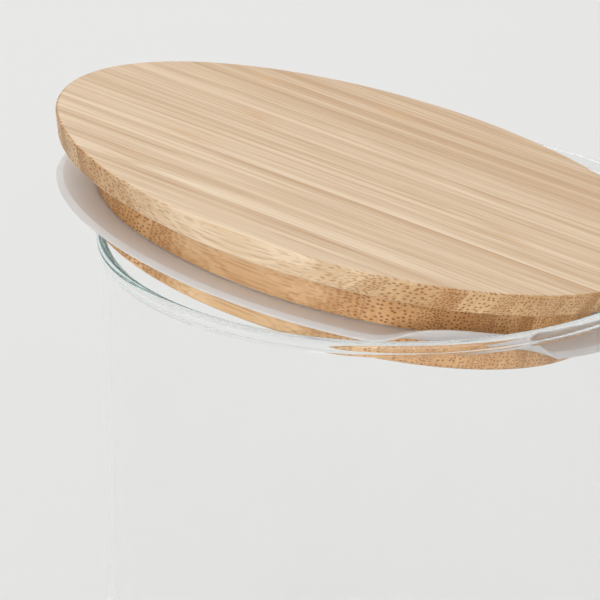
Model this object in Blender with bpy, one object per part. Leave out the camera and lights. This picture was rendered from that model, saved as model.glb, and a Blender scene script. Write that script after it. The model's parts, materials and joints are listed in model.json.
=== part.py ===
"""Food canister: a round glass jar, and a turned bamboo lid with a silicone sealing ring in its plug.

The jar stands on the XY plane with its axis on Z. The lid lies askew on the jar's mouth, its low
side dipped inside. It touches the rim in four places: the plug's lower corner on the high side,
and the disc's lower corner on the low side, front and back. Sizes are in metres.
"""

import math

import bmesh
import bpy
import numpy as np
from mathutils import Matrix, Vector

for old in list(bpy.data.objects):
    bpy.data.objects.remove(old, do_unlink=True)

# Glass jar
JAR_RADIUS = 0.060
JAR_HEIGHT = 0.170
JAR_WALL = 0.0022
JAR_BASE = 0.0050
FOOT_ROUND = 0.0070
FLOOR_ROUND = 0.0060
RIM_TUBE = 0.0012  # radius of the fire-polished bead round the mouth
RIM_PROUD = 0.00045  # how far the bead stands out past the wall
RIM_BAND = 0.0022  # height of the bead, from the crest of the rim
RIM_NECK = 0.0008  # height over which the bead runs out into the wall

# Turned bamboo lid
DISC_OVERHANG = 0.0033  # disc past the outside of the rim
DISC_THICKNESS = 0.0050
DISC_TOP_ROUND = 0.0006
DISC_LOWER_ROUND = 0.0006
DISC_TAPER = 0.0013  # the disc's edge draws in by this much towards its underside
PLUG_CLEARANCE = 0.0050  # plug to the inside of the wall
PLUG_DEPTH = 0.0148
PLUG_ROUND = 0.0008

# Silicone sealing ring: a bead held in the plug's groove, and a thin flange that wipes the wall
FLANGE_BELOW_DISC = 0.0083
FLANGE_THICKNESS = 0.0011
FLANGE_REACH = 0.0028  # how far the free flange is larger than the jar's inside
BEAD_DEPTH = 0.0022
BEAD_HEIGHT = 0.0014

# Edge-glued board that the lid is turned from: upright strips side by side
STRIP_COUNT = 15
BOARD_TRIM_FRONT = 0.0015  # board cut away past the disc, on each side of it
BOARD_TRIM_BACK = 0.0033
GROOVE_WEB = 0.0006  # least wood between a glue line and the groove's floor
GRAIN_TURN = math.radians(-38.0)  # along the strips, from the lid's downhill direction

# How the lid lies
LID_TILT = math.radians(13.7)
TILT_DIRECTION = math.radians(15.1)  # compass direction of the low side, from +X towards +Y

# Clearances and facets
GAP = 0.0003  # between pieces that touch
JAR_SEGMENTS = 72
LID_SEGMENTS = 72
RING_SEGMENTS = 180
ROUND_STEPS = 3
BEND_STEP = math.radians(1.0)
BEND_LIMIT = math.radians(150.0)
BEND_SPREAD = 1  # ring segments on each side over which a bend fades

# Worked out from the sizes above
JAR_INSIDE = JAR_RADIUS - JAR_WALL
RIM_RADIUS = JAR_RADIUS + RIM_PROUD - RIM_TUBE  # of the bead's centre line
RIM_LEVEL = JAR_HEIGHT - RIM_TUBE
DISC_RADIUS = JAR_RADIUS + RIM_PROUD + DISC_OVERHANG
PLUG_RADIUS = JAR_INSIDE - PLUG_CLEARANCE
LID_THICKNESS = DISC_THICKNESS + PLUG_DEPTH
FLANGE_TOP = DISC_THICKNESS + FLANGE_BELOW_DISC  # depths below the lid's top face
FLANGE_MIDDLE = FLANGE_TOP + FLANGE_THICKNESS / 2
FLANGE_RADIUS = JAR_INSIDE + FLANGE_REACH
BEAD_TOP = FLANGE_MIDDLE - BEAD_HEIGHT / 2
BEAD_FLOOR = FLANGE_MIDDLE + BEAD_HEIGHT / 2
BEAD_RADIUS = PLUG_RADIUS - BEAD_DEPTH
GROOVE_RADIUS = BEAD_RADIUS - GAP


def arc(centre_r, centre_z, radius, start, end, steps=ROUND_STEPS):
    """Points of a profile's rounded corner, with angles in degrees from the outward direction."""
    turns = [math.radians(start + (end - start) * step / steps) for step in range(steps + 1)]
    return [(centre_r + radius * math.cos(t), centre_z + radius * math.sin(t)) for t in turns]


def material(name, color, roughness, transmission=0.0, ior=1.45):
    made = bpy.data.materials.new(name)
    made.use_nodes = True
    shader = made.node_tree.nodes["Principled BSDF"]
    shader.inputs["Base Color"].default_value = (*color, 1.0)
    shader.inputs["Roughness"].default_value = roughness
    shader.inputs["Metallic"].default_value = 0.0
    shader.inputs["Transmission Weight"].default_value = transmission
    shader.inputs["IOR"].default_value = ior
    return made


def add_object(name, bm, made_of, parent=None):
    """Closes a bmesh into a named, smooth-shaded object with outward faces."""
    bmesh.ops.recalc_face_normals(bm, faces=bm.faces)
    mesh = bpy.data.meshes.new(name)
    bm.to_mesh(mesh)
    bm.free()
    mesh.materials.append(made_of)
    mesh.shade_smooth()
    mesh.set_sharp_from_angle(angle=math.radians(35))
    obj = bpy.data.objects.new(name, mesh)
    obj.parent = parent
    bpy.context.scene.collection.objects.link(obj)
    return obj


def turned(profile, segments):
    """Spins an open (radius, height) profile about Z, and closes it with a flat face at each end."""
    bm = bmesh.new()
    verts = [bm.verts.new((r, 0.0, z)) for r, z in profile]
    edges = [bm.edges.new(pair) for pair in zip(verts, verts[1:])]
    centre, up = (0.0, 0.0, 0.0), (0.0, 0.0, 1.0)
    bmesh.ops.spin(
        bm, geom=verts + edges, cent=centre, axis=up, angle=math.tau, steps=segments, use_merge=True
    )
    bmesh.ops.holes_fill(bm, edges=[edge for edge in bm.edges if edge.is_boundary], sides=0)
    return bm


# ---------------------------------------------------------------- glass jar


def jar_profile():
    """Down the outside of the jar from the crest of its rim, then up the inside, as (radius, height)."""
    bead_foot = JAR_HEIGHT - RIM_BAND
    neck = bead_foot - RIM_NECK
    outside = arc(RIM_RADIUS, RIM_LEVEL, RIM_TUBE, 90, 0, 4)
    outside += [(RIM_RADIUS + RIM_TUBE, bead_foot), (JAR_RADIUS, neck)]
    foot = arc(JAR_RADIUS - FOOT_ROUND, FOOT_ROUND, FOOT_ROUND, 0, -90, 4)
    floor = arc(JAR_INSIDE - FLOOR_ROUND, JAR_BASE + FLOOR_ROUND, FLOOR_ROUND, -90, 0, 4)
    inside = [(JAR_INSIDE, neck)] + arc(RIM_RADIUS, RIM_LEVEL, RIM_TUBE, 180, 90, 4)
    return outside, foot, floor, inside


def glass_jar(made_of):
    """One blown piece: the outside and the inside are turned as one skin that meets at the rim."""
    outside, foot, floor, inside = jar_profile()
    bm = turned(outside + foot, JAR_SEGMENTS)
    for face in [f for f in bm.faces if len(f.verts) > 4 and f.calc_center_median().z > FOOT_ROUND]:
        bm.faces.remove(face)
    hollow = turned(floor + inside, JAR_SEGMENTS)
    for face in [f for f in hollow.faces if len(f.verts) > 4 and f.calc_center_median().z > RIM_LEVEL]:
        hollow.faces.remove(face)
    part_mesh = bpy.data.meshes.new("hollow")
    hollow.to_mesh(part_mesh)
    hollow.free()
    bm.from_mesh(part_mesh)
    bpy.data.meshes.remove(part_mesh)
    bmesh.ops.remove_doubles(bm, verts=bm.verts, dist=1e-6)
    return add_object("glass_jar", bm, made_of)


# ---------------------------------------------------------------- how the lid lies on the rim


def lid_profile():
    """The lid from its top face down to its underside, as (radius, height under the top face)."""
    disc_low = DISC_RADIUS - DISC_TAPER
    return (
        arc(DISC_RADIUS - DISC_TOP_ROUND, -DISC_TOP_ROUND, DISC_TOP_ROUND, 90, 0)
        + arc(disc_low - DISC_LOWER_ROUND, DISC_LOWER_ROUND - DISC_THICKNESS, DISC_LOWER_ROUND, 0, -90)
        + [(PLUG_RADIUS, -DISC_THICKNESS), (PLUG_RADIUS, GAP - BEAD_TOP), (GROOVE_RADIUS, GAP - BEAD_TOP)]
        + [(GROOVE_RADIUS, -BEAD_FLOOR - GAP), (PLUG_RADIUS, -BEAD_FLOOR - GAP)]
        + arc(PLUG_RADIUS - PLUG_ROUND, PLUG_ROUND - LID_THICKNESS, PLUG_ROUND, 0, -90)
    )


def rim_clearance(shift, height, high_side):
    """Least distance from half of the rim's bead to the lid, whose top centre is at (shift, height)."""
    turn = np.radians(np.arange(90.0, 181.0) if high_side else np.arange(0.0, 91.0))
    axis = np.array([math.sin(LID_TILT), 0.0, math.cos(LID_TILT)])
    level = np.full_like(turn, RIM_LEVEL)
    rim = np.stack([RIM_RADIUS * np.cos(turn), RIM_RADIUS * np.sin(turn), level], axis=1)
    rim -= np.array([shift, 0.0, height])
    above = rim @ axis
    points = np.stack([np.linalg.norm(rim - above[:, None] * axis, axis=1), above], axis=1)
    outline = np.array([(0.0, 0.0)] + lid_profile() + [(0.0, -LID_THICKNESS)])
    start, along = outline[:-1], np.diff(outline, axis=0)
    share = ((points[:, None] - start) * along).sum(2) / (along**2).sum(1)
    nearest = start + np.clip(share, 0.0, 1.0)[..., None] * along
    distance = np.linalg.norm(points[:, None] - nearest, axis=2).min(1)
    under_top = (points[:, 1] < 0.0) & (points[:, 1] > -LID_THICKNESS)
    width = np.where(points[:, 1] > -DISC_THICKNESS, DISC_RADIUS, PLUG_RADIUS)
    inside = under_top & (points[:, 0] < width)
    return float(np.where(inside, -distance, distance).min()) - RIM_TUBE


def resting_height(shift, high_side):
    """Lowest place of the lid's top centre at which that side of the lid still clears the rim."""
    height = JAR_HEIGHT + 2 * LID_THICKNESS
    step = DISC_THICKNESS / 8
    while rim_clearance(shift, height, high_side) >= GAP:
        height -= step
    low, high = height, height + step
    for _ in range(30):
        middle = (low + high) / 2
        if rim_clearance(shift, middle, high_side) < GAP:
            low = middle
        else:
            high = middle
    return high


def lid_place():
    """Matrix from the lid's own frame (Z along its axis, X downhill) to the jar's."""
    left, right = -JAR_RADIUS / 3, JAR_RADIUS / 12
    for _ in range(30):
        shift = (left + right) / 2
        if resting_height(shift, True) > resting_height(shift, False):
            left = shift
        else:
            right = shift
    height = max(resting_height(shift, True), resting_height(shift, False))
    return (
        Matrix.Rotation(TILT_DIRECTION, 4, "Z")
        @ Matrix.Translation((shift, 0.0, height))
        @ Matrix.Rotation(LID_TILT, 4, "Y")
    )


# ---------------------------------------------------------------- bamboo strips


def glue_lines():
    """Where the board's glue lines lie across the grain, from the lid's axis, clear of the groove."""
    front = -DISC_RADIUS - BOARD_TRIM_FRONT
    pitch = (2 * DISC_RADIUS + BOARD_TRIM_FRONT + BOARD_TRIM_BACK) / STRIP_COUNT
    most = GROOVE_RADIUS - GROOVE_WEB
    lines = []
    for number in range(1, STRIP_COUNT):
        line = front + number * pitch
        if most < abs(line) < PLUG_RADIUS + GAP:
            line = math.copysign(most, line)
        lines.append(line)
    return lines


def bamboo_strips(lid, made_of):
    """The turned lid, sawn apart along its glue lines into the strips that it is glued up from."""
    lines = glue_lines()
    edges = [None] + lines + [None]
    across = Vector((-math.sin(GRAIN_TURN), math.cos(GRAIN_TURN), 0.0))
    for number, (front, back) in enumerate(zip(edges, edges[1:]), start=1):
        bm = turned(lid_profile(), LID_SEGMENTS)
        for line, side in ((front, -1), (back, 1)):
            if line is None:
                continue
            bmesh.ops.bisect_plane(
                bm,
                geom=bm.verts[:] + bm.edges[:] + bm.faces[:],
                dist=1e-7,
                plane_co=across * (line - side * GAP / 2),
                plane_no=across * side,
                clear_outer=True,
            )
            bmesh.ops.holes_fill(bm, edges=[edge for edge in bm.edges if edge.is_boundary], sides=0)
        add_object(f"bamboo_strip_{number:02d}", bm, made_of[number % len(made_of)], lid)


# ---------------------------------------------------------------- silicone sealing ring


def jar_clearance(point):
    """Distance from a point in the jar's frame to the glass of its mouth."""
    radius = math.hypot(point.x, point.y)
    if point.z > RIM_LEVEL:
        return math.hypot(radius - RIM_RADIUS, point.z - RIM_LEVEL) - RIM_TUBE
    return max(JAR_INSIDE - radius, radius - JAR_RADIUS - RIM_PROUD)


def flange_section(bend, steps=5):
    """The flange from its root to its tip, curled up evenly by bend: its lower side, then its upper."""
    root = PLUG_RADIUS + GAP
    length = FLANGE_RADIUS - root
    lower, upper = [], []
    for step in range(steps + 1):
        share = step / steps
        turn = bend * share
        if bend > 1e-6:
            out = length / bend * math.sin(turn)
            up = length / bend * (1.0 - math.cos(turn))
        else:
            out, up = length * share, 0.0
        half = FLANGE_THICKNESS / 2 * (1.0 if step < steps else 0.5)
        lower.append((root + out + half * math.sin(turn), up - half * math.cos(turn) - FLANGE_MIDDLE))
        upper.append((root + out - half * math.sin(turn), up + half * math.cos(turn) - FLANGE_MIDDLE))
    return lower, upper


def needed_bend(place, angle):
    """How far the flange must curl up at this angle round the lid to clear the rim it lies over."""
    outward = Vector((math.cos(angle), math.sin(angle), 0.0))
    bend = 0.0
    while bend < BEND_LIMIT:
        lower, upper = flange_section(bend, 10)
        skin = [place @ (outward * r + Vector((0.0, 0.0, z))) for r, z in lower + upper]
        if min(jar_clearance(point) for point in skin) >= GAP:
            break
        bend += BEND_STEP
    return bend


def flange_bends(place):
    """The bend at each ring segment: what the rim asks for, faded out over the segments beside it."""
    needed = [needed_bend(place, math.tau * k / RING_SEGMENTS) for k in range(RING_SEGMENTS)]
    reach = range(-BEND_SPREAD, BEND_SPREAD + 1)
    widest = [max(needed[(k + near) % RING_SEGMENTS] for near in reach) for k in range(RING_SEGMENTS)]
    spans = [[widest[(k + near) % RING_SEGMENTS] for near in reach] for k in range(RING_SEGMENTS)]
    return [sum(span) / len(span) for span in spans]


def silicone_ring(lid, place, made_of):
    """The bead's square section runs on into the flange's, which follows the bends round the ring."""
    bm = bmesh.new()
    hoops = []
    for number, bend in enumerate(flange_bends(place)):
        angle = math.tau * number / RING_SEGMENTS
        lower, upper = flange_section(bend)
        bead = [(PLUG_RADIUS, -BEAD_TOP), (BEAD_RADIUS, -BEAD_TOP)]
        bead += [(BEAD_RADIUS, -BEAD_FLOOR), (PLUG_RADIUS, -BEAD_FLOOR)]
        section = bead + lower + upper[::-1]
        hoops.append([bm.verts.new((r * math.cos(angle), r * math.sin(angle), z)) for r, z in section])
    for hoop, following in zip(hoops, hoops[1:] + hoops[:1]):
        for corner in range(len(hoop)):
            after = (corner + 1) % len(hoop)
            bm.faces.new((hoop[corner], hoop[after], following[after], following[corner]))
    add_object("silicone_ring", bm, made_of, lid)


# ---------------------------------------------------------------- assembly

glass = material("clear_glass", (0.90, 0.95, 0.94), 0.02, transmission=1.0)
silicone = material("frosted_silicone", (0.72, 0.66, 0.64), 0.45)
light_bamboo = material("light_bamboo", (0.76, 0.57, 0.36), 0.5)
deep_bamboo = material("deep_bamboo", (0.69, 0.49, 0.29), 0.5)

lid_to_jar = lid_place()
lid_empty = bpy.data.objects.new("lid_place", None)
lid_empty.matrix_world = lid_to_jar
bpy.context.scene.collection.objects.link(lid_empty)

glass_jar(glass)
silicone_ring(lid_empty, lid_to_jar, silicone)
bamboo_strips(lid_empty, (light_bamboo, deep_bamboo))
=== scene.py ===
import json
import math

import bmesh
import bpy
from mathutils import Matrix, Vector


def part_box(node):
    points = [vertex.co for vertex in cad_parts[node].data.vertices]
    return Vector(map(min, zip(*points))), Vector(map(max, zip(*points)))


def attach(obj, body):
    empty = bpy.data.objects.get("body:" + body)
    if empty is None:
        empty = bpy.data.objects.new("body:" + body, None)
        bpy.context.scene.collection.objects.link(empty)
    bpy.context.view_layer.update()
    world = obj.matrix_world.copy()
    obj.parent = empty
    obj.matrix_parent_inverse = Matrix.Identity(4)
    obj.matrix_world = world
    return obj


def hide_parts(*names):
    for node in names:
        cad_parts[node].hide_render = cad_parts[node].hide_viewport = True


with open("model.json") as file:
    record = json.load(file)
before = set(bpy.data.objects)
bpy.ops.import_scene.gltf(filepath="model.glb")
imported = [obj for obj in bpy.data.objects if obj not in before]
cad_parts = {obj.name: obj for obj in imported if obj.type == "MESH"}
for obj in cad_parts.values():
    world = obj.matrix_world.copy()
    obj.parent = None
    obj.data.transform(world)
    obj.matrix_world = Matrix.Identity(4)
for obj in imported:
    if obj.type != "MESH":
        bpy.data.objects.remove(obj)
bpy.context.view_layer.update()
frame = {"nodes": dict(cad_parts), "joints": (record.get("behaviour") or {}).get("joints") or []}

# ---------------------------------------------------------------- glass jar
# One blown piece of clear borosilicate glass with a thick flat base. Its mouth was cut and then melted
# round in a flame, which left a small bead. The sides are clear, and only the long way through the
# rim and the foot shows the glass's blue-green.

JAR_RADIUS = 0.060
JAR_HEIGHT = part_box("glass_jar")[1].z
JAR_INSIDE = 0.0578  # radius of the wall's inner side
JAR_BASE = 0.0050
FOOT_ROUND = 0.0070
FLOOR_ROUND = 0.0060
BASE_HOLLOW = 0.0004  # the middle of the underside is pressed up this far, so the jar stands on a ring
HOLLOW_FLAT = JAR_RADIUS * 0.6
HOLLOW_EDGE = JAR_RADIUS * 0.72  # where the hollow meets the ring that the jar stands on
RIM_TUBE = 0.0012  # radius of the bead's round edge
RIM_RADIUS = 0.05925
RIM_LEVEL = JAR_HEIGHT - RIM_TUBE
RIM_BAND = 0.0022  # height of the bead
RIM_NECK = 0.0008  # height of the soft step from the wall to the bead
FLAME_REACH = 0.012  # how far below the mouth the flame has smoothed the wall
JAR_STEPS = 480
CORNER_STEPS = 8
BEAD_STEPS = 32
SHARP_CORNER = math.radians(20)  # edges that turn more than this are drawn crisp
GLASS_INDEX = 1.47
GLASS_TINT = (0.25, 0.72, 0.71, 1.0)
GLASS_DEPTH = 2.2  # how strongly the glass colours what is seen through it
GLASS_SHADOW = (0.95, 0.96, 0.96, 1.0)


def arc(centre_r, centre_z, radius, start, end, steps):
    """Points (r, z) of a round corner, with angles in degrees from straight outwards."""
    turns = [math.radians(start + (end - start) * step / steps) for step in range(steps + 1)]
    return [(centre_r + radius * math.cos(t), centre_z + radius * math.sin(t)) for t in turns]


def eased(from_r, to_r, from_z, to_z, steps):
    """Points (r, z) of a soft step from one radius to another."""
    points = []
    for share in (step / steps for step in range(steps + 1)):
        moved = (3 - 2 * share) * share * share
        points.append((from_r + (to_r - from_r) * moved, from_z + (to_z - from_z) * share))
    return points


def turned(profile, steps):
    """A bmesh turned about Z from a profile of (r, z) points, with its poles and its seam closed."""
    bm = bmesh.new()
    verts = [bm.verts.new((r, 0.0, z)) for r, z in profile]
    edges = [bm.edges.new(pair) for pair in zip(verts, verts[1:])]
    bmesh.ops.spin(
        bm, geom=verts + edges, axis=(0.0, 0.0, 1.0), cent=(0.0, 0.0, 0.0),
        angle=math.tau, steps=steps, use_merge=True,
    )
    bmesh.ops.remove_doubles(bm, verts=bm.verts, dist=1e-7)
    bmesh.ops.recalc_face_normals(bm, faces=bm.faces)
    return bm


def piece_from(bm, name, material):
    """The finished bmesh as a smooth object with its one material."""
    mesh = bpy.data.meshes.new(name)
    bm.to_mesh(mesh)
    bm.free()
    mesh.shade_smooth()
    mesh.set_sharp_from_angle(angle=SHARP_CORNER)
    mesh.materials.append(material)
    piece = bpy.data.objects.new(name, mesh)
    bpy.context.scene.collection.objects.link(piece)
    return piece


def add_node(tree, kind, inputs, **settings):
    """A shader node with its settings, and each of its named or numbered inputs linked or set."""
    made = tree.nodes.new("ShaderNode" + kind)
    for name, value in settings.items():
        setattr(made, name, value)
    for key, value in inputs.items():
        if isinstance(value, bpy.types.NodeSocket):
            tree.links.new(value, made.inputs[key])
        else:
            made.inputs[key].default_value = value
    return made


def ramp(tree, value, low, high, to_low, to_high, kind="LINEAR"):
    """The value carried from one range to another, and held at its ends."""
    ends = {"From Min": low, "From Max": high, "To Min": to_low, "To Max": to_high}
    return add_node(tree, "MapRange", {"Value": value, **ends}, interpolation_type=kind).outputs["Result"]


def new_material(name):
    """A material with its node tree and its Principled shader."""
    made = bpy.data.materials.new(name)
    made.use_nodes = True
    return made, made.node_tree, made.node_tree.nodes["Principled BSDF"]


bead_foot = JAR_HEIGHT - RIM_BAND
neck = bead_foot - RIM_NECK
jar_profile = [(0.0, BASE_HOLLOW), (HOLLOW_FLAT, BASE_HOLLOW), (HOLLOW_EDGE, 0.0)]
jar_profile += arc(JAR_RADIUS - FOOT_ROUND, FOOT_ROUND, FOOT_ROUND, -90, 0, CORNER_STEPS)
jar_profile += [(JAR_RADIUS, JAR_HEIGHT / 2)]
jar_profile += eased(JAR_RADIUS, RIM_RADIUS + RIM_TUBE, neck, bead_foot, CORNER_STEPS)
jar_profile += arc(RIM_RADIUS, RIM_LEVEL, RIM_TUBE, 0, 180, BEAD_STEPS)
jar_profile += eased(RIM_RADIUS - RIM_TUBE, JAR_INSIDE, bead_foot, neck, CORNER_STEPS)
jar_profile += [(JAR_INSIDE, JAR_HEIGHT / 2)]
jar_profile += arc(
    JAR_INSIDE - FLOOR_ROUND, JAR_BASE + FLOOR_ROUND, FLOOR_ROUND, 0, -90, CORNER_STEPS
)
jar_profile += [(0.0, JAR_BASE)]

glass, tree, shader = new_material("clear_glass")
shader.inputs["Base Color"].default_value = (1.0, 1.0, 1.0, 1.0)
shader.inputs["Transmission Weight"].default_value = 1.0
shader.inputs["IOR"].default_value = GLASS_INDEX
place = add_node(tree, "TexCoord", {}).outputs["Object"]
height = add_node(tree, "SeparateXYZ", {"Vector": place}).outputs["Z"]
below_flame = ramp(tree, height, neck - FLAME_REACH, neck, 1.0, 0.0)

# The drawn wall waves a little, and is faintly wiped, up to where the flame has smoothed it.
waves = add_node(tree, "TexNoise", {"Vector": place, "Scale": 28.0, "Detail": 1.0}).outputs["Fac"]
uneven = add_node(tree, "Math", {0: waves, 1: below_flame}, operation="MULTIPLY").outputs[0]
drawn = add_node(tree, "Bump", {"Height": uneven, "Strength": 0.02, "Distance": 0.0004})
tree.links.new(drawn.outputs["Normal"], shader.inputs["Normal"])
wiped = add_node(tree, "TexNoise", {"Vector": place, "Scale": 60.0, "Detail": 5.0, "Roughness": 0.65})
haze = ramp(tree, wiped.outputs["Fac"], 0.45, 0.8, 0.0, 0.005)
handled = add_node(tree, "Math", {0: haze, 1: below_flame}, operation="MULTIPLY")
tree.links.new(handled.outputs[0], shader.inputs["Roughness"])

# Lamps shine through the glass with a light shadow, and its tint grows with the way through it.
output = tree.nodes["Material Output"]
lamp_ray = add_node(tree, "LightPath", {}).outputs["Is Shadow Ray"]
clear = add_node(tree, "BsdfTransparent", {"Color": GLASS_SHADOW})
either = add_node(tree, "MixShader", {0: lamp_ray, 1: shader.outputs["BSDF"], 2: clear.outputs["BSDF"]})
tree.links.new(either.outputs["Shader"], output.inputs["Surface"])
depth_tint = add_node(tree, "VolumeAbsorption", {"Color": GLASS_TINT, "Density": GLASS_DEPTH})
tree.links.new(depth_tint.outputs["Volume"], output.inputs["Volume"])

jar = piece_from(turned(jar_profile, JAR_STEPS), "jar", glass)
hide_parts("glass_jar")
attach(jar, "jar")

# ---------------------------------------------------------------- silicone ring
# One moulded ring of frosted silicone. A square bead is stretched into the plug's groove, and a thin
# flange stands out past the plug to wipe the jar's wall. Where the lid leans on the jar, the rim has
# bent the flange up.

PLUG_RADIUS = 0.0528
FLANGE_DEPTH = 0.01385  # from the lid's top face to the middle of the flange
FLANGE_THICKNESS = 0.0011
FLANGE_RADIUS = 0.06058
BEAD_RADIUS = 0.0506  # radius of the bead's inner side
BEAD_HEIGHT = 0.0014
TIP_THICKNESS = 0.0005
TIP_SLOPE = 0.0012  # width of the sloping edge round the flange
TIP_STEPS = 12
RIM_CLEARANCE = 0.0003
RING_STEPS = 360
FLANGE_STEPS = 12
BEND_STEPS = 180
BEND_SPREAD = 1  # each bend is evened out over this many steps to either side
BEND_POINTS = 10  # points along the flange that are kept clear of the glass
MOST_BEND = 150  # degrees
HAIR = 1e-6  # a bend or a length under this counts as none
FLANGE_ROOT = PLUG_RADIUS + RIM_CLEARANCE
FLANGE_LENGTH = FLANGE_RADIUS - FLANGE_ROOT
PALE_MILK = (0.91, 0.87, 0.87, 1.0)
WHITE_MILK = (0.95, 0.92, 0.92, 1.0)
SILICONE_INDEX = 1.41

# The lid lies askew on the rim. Its axis is the one that it leaves its ring along, and its middle is
# read from the frame's strips.
strip_names = sorted(name for name in frame["nodes"] if name.startswith("bamboo_strip_"))
release = next(joint for joint in frame["joints"] if joint["name"] == "ring_release")
lid_up = Vector(release["axis"]).normalized()
downhill = (Vector((lid_up.x, lid_up.y, 0.0)) - lid_up * (lid_up.x**2 + lid_up.y**2)).normalized()
lid_turn = Matrix((downhill, lid_up.cross(downhill), lid_up)).transposed()
lid_points = [
    lid_turn.inverted() @ vert.co for name in strip_names for vert in frame["nodes"][name].data.vertices
]
middle = [(min(p[k] for p in lid_points) + max(p[k] for p in lid_points)) / 2 for k in (0, 1)]
top_centre = lid_turn @ Vector((*middle, max(p.z for p in lid_points)))
lid_place = Matrix.Translation(top_centre) @ lid_turn.to_4x4()


def curled(along, off, bend):
    """Where a point of the flange goes, as (r, z) in the lid's frame, when the flange curls up by bend."""
    turn = bend * along / FLANGE_LENGTH
    out = math.sin(turn) * FLANGE_LENGTH / bend if bend > HAIR else along
    up = (1.0 - math.cos(turn)) * FLANGE_LENGTH / bend if bend > HAIR else 0.0
    return FLANGE_ROOT + out - off * math.sin(turn), up + off * math.cos(turn) - FLANGE_DEPTH


def rim_gap(point):
    """Distance from a point to the glass round the jar's mouth."""
    radius = math.hypot(point.x, point.y)
    if point.z > RIM_LEVEL:
        return math.hypot(radius - RIM_RADIUS, point.z - RIM_LEVEL) - RIM_TUBE
    return max(JAR_INSIDE - radius, radius - RIM_RADIUS - RIM_TUBE)


def bend_over_rim(angle):
    """How far the flange has to curl up at this angle round the lid to lie over the rim."""
    outward = Vector((math.cos(angle), math.sin(angle), 0.0))
    for degrees in range(MOST_BEND):
        bend = math.radians(degrees)
        faces = [curled(FLANGE_LENGTH * k / BEND_POINTS, side, bend) for k in range(BEND_POINTS + 1)
                 for side in (-FLANGE_THICKNESS / 2, FLANGE_THICKNESS / 2)]
        skin = [lid_place @ (outward * r + Vector((0.0, 0.0, z))) for r, z in faces]
        if all(rim_gap(point) >= RIM_CLEARANCE for point in skin):
            break
    return bend


needed = [bend_over_rim(math.tau * k / BEND_STEPS) for k in range(BEND_STEPS)]
near = range(-BEND_SPREAD, BEND_SPREAD + 1)
widest = [max(needed[(k + n) % BEND_STEPS] for n in near) for k in range(BEND_STEPS)]
bends = [sum(widest[(k + n) % BEND_STEPS] for n in near) / len(near) for k in range(BEND_STEPS)]

half = FLANGE_THICKNESS / 2
blunt = TIP_THICKNESS / 2
slope_start = FLANGE_RADIUS - TIP_SLOPE
reach = slope_start - FLANGE_ROOT
under = [(FLANGE_ROOT + reach * k / FLANGE_STEPS, -half) for k in range(FLANGE_STEPS + 1)]
section = [(PLUG_RADIUS, half), (PLUG_RADIUS, BEAD_HEIGHT / 2), (BEAD_RADIUS, BEAD_HEIGHT / 2)]
section += [(BEAD_RADIUS, -BEAD_HEIGHT / 2), (PLUG_RADIUS, -BEAD_HEIGHT / 2), (PLUG_RADIUS, -half)]
section += under + arc(FLANGE_RADIUS - blunt, blunt - half, blunt, -90, 90, TIP_STEPS)
section += [(r, -z) for r, z in under[::-1]]
bm = turned(section + section[:1], RING_STEPS)
for vert in bm.verts:
    angle = math.atan2(vert.co.y, vert.co.x) % math.tau
    before, share = divmod(angle / math.tau * BEND_STEPS, 1.0)
    here, after = int(before) % BEND_STEPS, (int(before) + 1) % BEND_STEPS
    bend = bends[here] * (1.0 - share) + bends[after] * share
    radius = math.hypot(vert.co.x, vert.co.y)
    z = vert.co.z - FLANGE_DEPTH
    if radius > FLANGE_ROOT + HAIR:
        radius, z = curled(radius - FLANGE_ROOT, vert.co.z, bend)
    vert.co = (radius * math.cos(angle), radius * math.sin(angle), z)
bmesh.ops.transform(bm, matrix=lid_place, verts=bm.verts)

silicone, tree, shader = new_material("frosted_silicone")
place = add_node(tree, "TexCoord", {}).outputs["Object"]
cloud = add_node(tree, "TexNoise", {"Vector": place, "Scale": 45.0, "Detail": 4.0}).outputs["Fac"]
milk = add_node(tree, "Mix", {0: cloud, 6: PALE_MILK, 7: WHITE_MILK}, data_type="RGBA").outputs[2]
tree.links.new(milk, shader.inputs["Base Color"])
tree.links.new(ramp(tree, cloud, 0.3, 0.7, 0.34, 0.5), shader.inputs["Roughness"])
frost = add_node(tree, "TexNoise", {"Vector": place, "Scale": 2600.0, "Detail": 2.0}).outputs["Fac"]
matt = add_node(tree, "Bump", {"Height": frost, "Strength": 0.15, "Distance": 0.0001})
tree.links.new(matt.outputs["Normal"], shader.inputs["Normal"])
shader.inputs["IOR"].default_value = SILICONE_INDEX
shader.inputs["Transmission Weight"].default_value = 0.3
shader.inputs["Subsurface Weight"].default_value = 0.8
shader.inputs["Subsurface Radius"].default_value = (1.0, 0.9, 0.85)
shader.inputs["Subsurface Scale"].default_value = 0.004

ring = piece_from(bm, "sealing_ring", silicone)
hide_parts("silicone_ring")
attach(ring, "ring")

# ---------------------------------------------------------------- bamboo strips
# The lid is one edge-glued board of split bamboo, turned to a disc with a plug below it, then sanded
# and oiled. Each strip has its fibres packed towards the side that lay under the culm's skin, so its
# end grain runs from sparse dots to a dark dense band at each glue line.

DISC_RADIUS = 0.06365
DISC_THICKNESS = 0.0050
DISC_TAPER = 0.0013  # the disc's radius is this much smaller at its underside
DISC_ROUND = 0.0006
PLUG_ROUND = 0.0008
ROUND_STEPS = 6
INNER_RADIUS = DISC_RADIUS * 0.5  # a ring of points on the flat faces, half way in
LID_THICKNESS = 0.0198
GROOVE_RADIUS = 0.0503
GROOVE_EASE = 0.00003  # room above and below the ring's bead
GROOVE_TOP = FLANGE_DEPTH - BEAD_HEIGHT / 2 - GROOVE_EASE
GROOVE_FLOOR = FLANGE_DEPTH + BEAD_HEIGHT / 2 + GROOVE_EASE
GLUE = 0.00002
CUT_MARGIN = 0.002  # the outer strips' cuts pass this far outside the disc
LID_STEPS = 288
GRAIN_TURN = math.radians(-38.0)  # along the strips, from the lid's downhill direction
SPARSE_FIBRES = 1250.0  # fibre bundles to the metre on a strip's pale side
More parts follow.
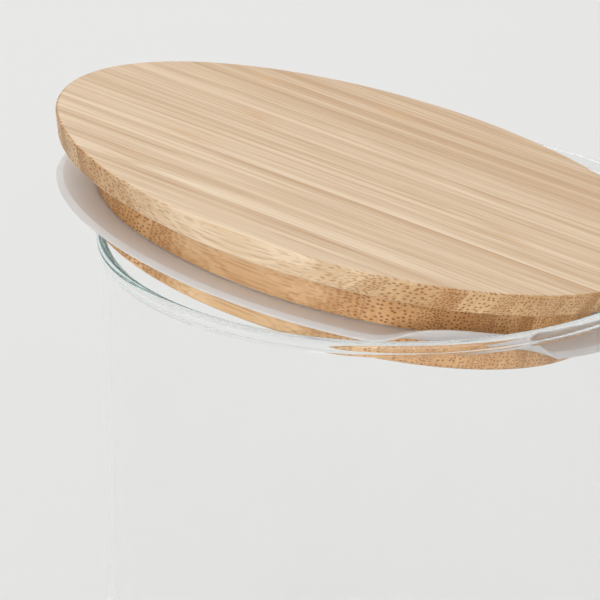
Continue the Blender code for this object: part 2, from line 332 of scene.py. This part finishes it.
DENSE_FIBRES = 2100.0
CROWDING = 1.6  # how late across a strip its fibres start to crowd
FIBRE_DIVE = 0.0030  # how far fibres rise and fall along a strip
FIBRE_WANDER = 0.0016
KNOT_WANDER = 0.0026  # how much more the fibres wander beside a knot
STREAK = 0.012  # the grain's noise is drawn out lengthways by this share
BAND_NOISE = (380.0, 380.0, 150.0)  # along, across and down the board
LINE_NOISE = (2600.0, 2600.0, 900.0)
VEIN_NOISE = (1300.0, 1300.0, 450.0)
KNOT_NOISE = (9000.0, 900.0, 500.0)
STRIP_TONES = (  # paler to deeper
    -0.3, 0.0, -0.25, 0.0, 0.0, -0.1, -0.05, 0.1, 0.0, -0.05, 0.15, 0.4, 0.45, 0.3, 0.3
)
# Each knot's strip, and its place along the grain.
KNOTS = {3: -0.033, 6: -0.032, 7: 0.036, 9: -0.030, 12: -0.040, 13: -0.012}
NO_KNOT = 1.0  # a place far off the lid, for strips without one
KNOT_LENGTH = 0.0050
SEED_STEP = 1.37
PALE_WOOD = (0.765, 0.60, 0.42, 1.0)
DEEP_WOOD = (0.52, 0.33, 0.172, 1.0)
KNOT_WOOD = (0.60, 0.38, 0.19, 1.0)
END_OIL = (0.87, 0.75, 0.58, 1.0)
# painted warm bounce light for the plug, in the shade under the disc's overhang
PAINTED_PLUG_SHADE = (1.13, 1.03, 0.89, 1.0)
FIBRE_BROWN = (0.27, 0.085, 0.022, 1.0)
GLUE_BROWN = (0.38, 0.22, 0.11, 1.0)


def bamboo_group():
    """Split bamboo as a solid: fibre bundles that are dots on its end grain and streaks along it."""
    tree = bpy.data.node_groups.new("split_bamboo", "ShaderNodeTree")
    face = tree.interface
    for name in ("Grain Place", "Grain"):
        face.new_socket(name, in_out="INPUT", socket_type="NodeSocketVector")
    for name in ("Seed", "Front", "Back", "Tone", "Knot"):
        face.new_socket(name, in_out="INPUT", socket_type="NodeSocketFloat")
    for name, kind in (("Color", "NodeSocketColor"), ("Roughness", "NodeSocketFloat"),
                       ("Height", "NodeSocketFloat")):
        face.new_socket(name, in_out="OUTPUT", socket_type=kind)
    given = tree.nodes.new("NodeGroupInput").outputs
    result = tree.nodes.new("NodeGroupOutput").inputs

    def calc(operation, *values):
        return add_node(tree, "Math", dict(enumerate(values)), operation=operation).outputs[0]

    def smooth(value, low, high, to_low, to_high):
        return ramp(tree, value, low, high, to_low, to_high, "SMOOTHSTEP")

    def vector(operation, *values):
        return add_node(tree, "VectorMath", dict(enumerate(values)), operation=operation).outputs[0]

    def noise(where, detail):
        return add_node(tree, "TexNoise", {"Vector": where, "Scale": 1.0, "Detail": detail}).outputs["Fac"]

    def blended(share, first, second, kind="MIX"):
        made = add_node(tree, "Mix", {0: share, 6: first, 7: second}, data_type="RGBA", blend_type=kind)
        return made.outputs[2]

    # Across each strip, 0 at its pale front and 1 at the dense band by the next glue line.
    parts = add_node(tree, "SeparateXYZ", {0: given["Grain Place"]}).outputs
    from_front = calc("SUBTRACT", parts[1], given["Front"])
    across = calc("DIVIDE", from_front, calc("SUBTRACT", given["Back"], given["Front"]))
    inner = calc("POWER", calc("MINIMUM", calc("MAXIMUM", across, 0.0), 1.0), CROWDING)

    # The fibres wander a little, more so at a knot, and differ from strip to strip.
    slow_x, slow_y = calc("MULTIPLY", parts[0], 14.0), calc("MULTIPLY", parts[1], 60.0)
    slow = add_node(tree, "CombineXYZ", {0: slow_x, 1: slow_y, 2: given["Seed"]}).outputs[0]
    near_knot = calc("DIVIDE", calc("SUBTRACT", parts[0], given["Knot"]), KNOT_LENGTH)
    knot = calc("EXPONENT", calc("MULTIPLY", calc("MULTIPLY", near_knot, near_knot), -1.0))
    drift = calc("ADD", FIBRE_WANDER, calc("MULTIPLY", knot, KNOT_WANDER))
    shifted = calc("MULTIPLY_ADD", calc("SUBTRACT", noise(slow, 1.0), 0.5), drift, parts[1])
    dive = noise(vector("ADD", slow, (0.0, 0.0, 7.3)), 1.0)
    sunk = calc("MULTIPLY_ADD", calc("SUBTRACT", dive, 0.5), FIBRE_DIVE, parts[2])
    slid = calc("MULTIPLY", parts[0], STREAK)
    thread = add_node(tree, "CombineXYZ", {0: slid, 1: shifted, 2: sunk}).outputs[0]
    apart = add_node(tree, "CombineXYZ", {0: given["Seed"], 1: given["Seed"]}).outputs[0]
    moved = vector("ADD", thread, apart)
    endways = add_node(tree, "CombineXYZ", {0: calc("ADD", shifted, given["Seed"]), 1: sunk}).outputs[0]

    def bundles(scale, size, soft):
        cells = add_node(tree, "TexVoronoi", {"Vector": endways, "Scale": scale, "Randomness": 0.65},
                         voronoi_dimensions="2D")
        return smooth(cells.outputs["Distance"], size, size + soft, 1.0, 0.0)

    sparse = bundles(SPARSE_FIBRES, 0.15, 0.16)
    dense = bundles(DENSE_FIBRES, 0.20, 0.18)
    packed = smooth(inner, 0.25, 0.75, 0.0, 1.0)
    loose = calc("MULTIPLY", sparse, calc("SUBTRACT", 1.0, packed))
    fibres = calc("ADD", loose, calc("MULTIPLY", dense, packed))

    # Bands of tone along the grain, a few millimetres and a few tenths wide, and finer dark veins.
    bands = noise(vector("MULTIPLY", moved, BAND_NOISE), 2.0)
    lines = noise(vector("MULTIPLY", moved, LINE_NOISE), 3.0)
    crease = noise(vector("MULTIPLY", moved, VEIN_NOISE), 1.0)
    veins = smooth(calc("ABSOLUTE", calc("SUBTRACT", crease, 0.5)), 0.0, 0.035, 0.4, 0.0)
    tone = calc("ADD", smooth(bands, 0.32, 0.68, -0.30, 0.30), ramp(tree, lines, 0.3, 0.7, -0.24, 0.24))
    tone = calc("ADD", tone, veins)
    tone = calc("ADD", calc("ADD", tone, given["Tone"]), calc("MULTIPLY", packed, 0.25))
    wood = blended(ramp(tree, tone, -0.6, 0.7, 0.0, 1.0), PALE_WOOD, DEEP_WOOD)

    # A knot, where the culm had a joint, is a blotch of deeper, crossed wood.
    crossed = noise(vector("MULTIPLY", moved, KNOT_NOISE), 3.0)
    wood = blended(calc("MULTIPLY", knot, smooth(crossed, 0.44, 0.58, 0.0, 0.75)), wood, KNOT_WOOD)

    # End grain drinks the oil, so it is deeper in colour and its bundles are dark. Below the disc the plug
    # is painted warmer: painted warm bounce light in the shade under the disc's overhang.
    normal = add_node(tree, "TexCoord", {}).outputs["Normal"]
    facing = add_node(tree, "VectorMath", {0: normal, 1: given["Grain"]}, operation="DOT_PRODUCT")
    end = smooth(calc("ABSOLUTE", facing.outputs["Value"]), 0.12, 0.6, 0.0, 1.0)
    wood = blended(end, wood, END_OIL, "MULTIPLY")
    # mask of the plug below the disc, where the painted warm shade goes
    plug_shade_mask = smooth(parts[2], -DISC_THICKNESS - 0.0002, -DISC_THICKNESS + 0.0001, 1.0, 0.0)
    wood = blended(plug_shade_mask, wood, PAINTED_PLUG_SHADE, "MULTIPLY")
    depth = calc("ADD", 0.24, calc("MULTIPLY", end, 0.62))
    wood = blended(calc("MULTIPLY", fibres, depth), wood, FIBRE_BROWN)

    # The glue line itself is a hair of darker wood.
    to_back = calc("ABSOLUTE", calc("SUBTRACT", parts[1], given["Back"]))
    edge = calc("MINIMUM", calc("ABSOLUTE", from_front), to_back)
    wood = blended(smooth(edge, 0.00003, 0.00014, 0.30, 0.0), wood, GLUE_BROWN)

    tree.links.new(wood, result["Color"])
    tree.links.new(calc("ADD", 0.42, calc("MULTIPLY", fibres, 0.14)), result["Roughness"])
    tree.links.new(calc("SUBTRACT", calc("MULTIPLY", lines, 0.6), fibres), result["Height"])
    return tree


split_bamboo = bamboo_group()
board_place = lid_place @ Matrix.Rotation(GRAIN_TURN, 4, "Z")


def bamboo(number, front, back, tone, knot):
    """The shared bamboo for one strip, laid between its edges, with its own fibres, tone and knot."""
    made, tree, shader = new_material(f"bamboo_{number:02d}")
    place = add_node(tree, "TexCoord", {}).outputs["Object"]
    onto_grain = add_node(tree, "Mapping", {"Vector": place, "Location": board_place.translation,
                                            "Rotation": board_place.to_euler()}, vector_type="TEXTURE")
    wood = tree.nodes.new("ShaderNodeGroup")
    wood.node_tree = split_bamboo
    tree.links.new(onto_grain.outputs[0], wood.inputs["Grain Place"])
    wood.inputs["Grain"].default_value = board_place.to_3x3() @ Vector((1.0, 0.0, 0.0))
    wood.inputs["Seed"].default_value = number * SEED_STEP
    wood.inputs["Front"].default_value = front
    wood.inputs["Back"].default_value = back
    wood.inputs["Tone"].default_value = tone
    wood.inputs["Knot"].default_value = knot
    tree.links.new(wood.outputs["Color"], shader.inputs["Base Color"])
    tree.links.new(wood.outputs["Roughness"], shader.inputs["Roughness"])
    relief = wood.outputs["Height"]
    sanded = add_node(tree, "Bump", {"Height": relief, "Strength": 0.25, "Distance": 0.0001})
    tree.links.new(sanded.outputs["Normal"], shader.inputs["Normal"])
    shader.inputs["Specular IOR Level"].default_value = 0.35
    return made


disc_low = DISC_RADIUS - DISC_TAPER
lid_profile = [(0.0, 0.0), (INNER_RADIUS, 0.0)]
lid_profile += arc(DISC_RADIUS - DISC_ROUND, -DISC_ROUND, DISC_ROUND, 90, 0, ROUND_STEPS)
lid_profile += arc(disc_low - DISC_ROUND, DISC_ROUND - DISC_THICKNESS, DISC_ROUND, 0, -90, ROUND_STEPS)
lid_profile += [(PLUG_RADIUS, -DISC_THICKNESS), (PLUG_RADIUS, -GROOVE_TOP), (GROOVE_RADIUS, -GROOVE_TOP)]
lid_profile += [(GROOVE_RADIUS, -GROOVE_FLOOR), (PLUG_RADIUS, -GROOVE_FLOOR)]
lid_profile += arc(
    PLUG_RADIUS - PLUG_ROUND, PLUG_ROUND - LID_THICKNESS, PLUG_ROUND, 0, -90, ROUND_STEPS
)
lid_profile += [(INNER_RADIUS, -LID_THICKNESS), (0.0, -LID_THICKNESS)]
whole_lid = bpy.data.meshes.new("whole_lid")
bm = turned(lid_profile, LID_STEPS)
bmesh.ops.transform(bm, matrix=Matrix.Rotation(-GRAIN_TURN, 4, "Z"), verts=bm.verts)
bm.to_mesh(whole_lid)
bm.free()

# The glue lines lie half way between the frame's strips.
to_board = board_place.inverted()
spans = []
for name in strip_names:
    levels = [(to_board @ v.co).y for v in frame["nodes"][name].data.vertices]
    spans.append((min(levels), max(levels)))
glue_lines = [(before[1] + after[0]) / 2 for before, after in zip(spans, spans[1:])]
edges = [spans[0][0] - CUT_MARGIN] + glue_lines + [spans[-1][1] + CUT_MARGIN]
strips = zip(strip_names, edges, edges[1:], STRIP_TONES)
for number, (name, front, back, tone) in enumerate(strips, start=1):
    bm = bmesh.new()
    bm.from_mesh(whole_lid)
    for line, side in ((front, -1.0), (back, 1.0)):
        bmesh.ops.bisect_plane(
            bm, geom=bm.verts[:] + bm.edges[:] + bm.faces[:], dist=1e-8,
            plane_co=(0.0, line - side * GLUE / 2, 0.0), plane_no=(0.0, side, 0.0), clear_outer=True,
        )
        bmesh.ops.holes_fill(bm, edges=[edge for edge in bm.edges if edge.is_boundary], sides=0)
    bmesh.ops.recalc_face_normals(bm, faces=bm.faces)
    bmesh.ops.transform(bm, matrix=board_place, verts=bm.verts)
    grain = bamboo(number, front, back, tone, KNOTS.get(number, NO_KNOT))
    strip = piece_from(bm, f"strip_{number:02d}", grain)
    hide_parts(name)
    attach(strip, "lid")
bpy.data.meshes.remove(whole_lid)

# ---------------------------------------------------------------- studio
# A plain pale floor, with soft panels overhead, in front and low on the left. The room behind them is
# pale too, and darker to the sides, which draws the edges of the glass. A long lens looks down on the lid.

FLOOR_REACH = 8.0
FLOOR_PALE = (0.67, 0.67, 0.662, 1.0)
ROOM_WHITE = (1.0, 1.0, 0.99, 1.0)
ROOM_LIGHT = 1.0
WALL_LIGHT = 0.35
ROOM_ENDS = 0.25  # how far sideways a ray points where the room starts to darken
WALL_STARTS = 0.9  # and where it is at its darkest
MOST_BOUNCES = 256  # light turns this often inside the rim, which goes black if it is cut off sooner
CLEAR_BOUNCES = 64
LENS = 210.0
SENSOR = 36.0
CAMERA_PLACE = Vector((0.0, -0.6646, JAR_HEIGHT + 0.26125))
CAMERA_PITCH = math.radians(22.67)
CAMERA_PAN = math.radians(1.635)
CAMERA_ROLL = math.radians(0.16)

bm = bmesh.new()
bmesh.ops.create_grid(bm, x_segments=1, y_segments=1, size=FLOOR_REACH)
pale, tree, shader = new_material("pale_floor")
shader.inputs["Base Color"].default_value = FLOOR_PALE
shader.inputs["Roughness"].default_value = 0.7
floor = piece_from(bm, "floor", pale)


def panel(name, place, aim, size, power):
    """A square softbox at place that points at aim."""
    light = bpy.data.lights.new(name, "AREA")
    light.size = size
    light.energy = power
    lamp = bpy.data.objects.new(name, light)
    lamp.location = place
    lamp.rotation_euler = (Vector(aim) - Vector(place)).to_track_quat("-Z", "Y").to_euler()
    bpy.context.scene.collection.objects.link(lamp)


panel("overhead", place=(-0.2, 0.9, 1.4), aim=(0.0, 0.3, 0.0), size=1.2, power=8.5)
panel("front_low", place=(0.3, -1.6, 0.45), aim=(0.0, 0.0, 0.15), size=1.4, power=13.0)
panel("left_low", place=(-1.5, -0.7, 0.25), aim=(0.0, 0.0, 0.15), size=1.0, power=5.0)

world = bpy.data.worlds.new("room")
world.use_nodes = True
tree = world.node_tree
backdrop = tree.nodes["Background"].inputs
backdrop["Color"].default_value = ROOM_WHITE
direction = add_node(tree, "TexCoord", {}).outputs["Generated"]
right = add_node(tree, "SeparateXYZ", {"Vector": direction}).outputs["X"]
sideways = add_node(tree, "Math", {0: right}, operation="ABSOLUTE").outputs[0]
room_light = ramp(tree, sideways, ROOM_ENDS, WALL_STARTS, ROOM_LIGHT, WALL_LIGHT)
tree.links.new(room_light, backdrop["Strength"])
bpy.context.scene.world = world
bpy.context.scene.cycles.max_bounces = MOST_BOUNCES
bpy.context.scene.cycles.glossy_bounces = MOST_BOUNCES
bpy.context.scene.cycles.transmission_bounces = CLEAR_BOUNCES
bpy.context.scene.view_settings.view_transform = "Standard"

camera = bpy.data.cameras.new("camera")
camera.lens = LENS
camera.sensor_width = SENSOR
camera.clip_start = 0.01
eye = bpy.data.objects.new("camera", camera)
aim = Matrix.Rotation(CAMERA_PAN, 4, "Z") @ Matrix.Rotation(math.pi / 2 - CAMERA_PITCH, 4, "X")
eye.matrix_world = Matrix.Translation(CAMERA_PLACE) @ aim @ Matrix.Rotation(CAMERA_ROLL, 4, "Z")
bpy.context.scene.collection.objects.link(eye)
bpy.context.scene.camera = eye
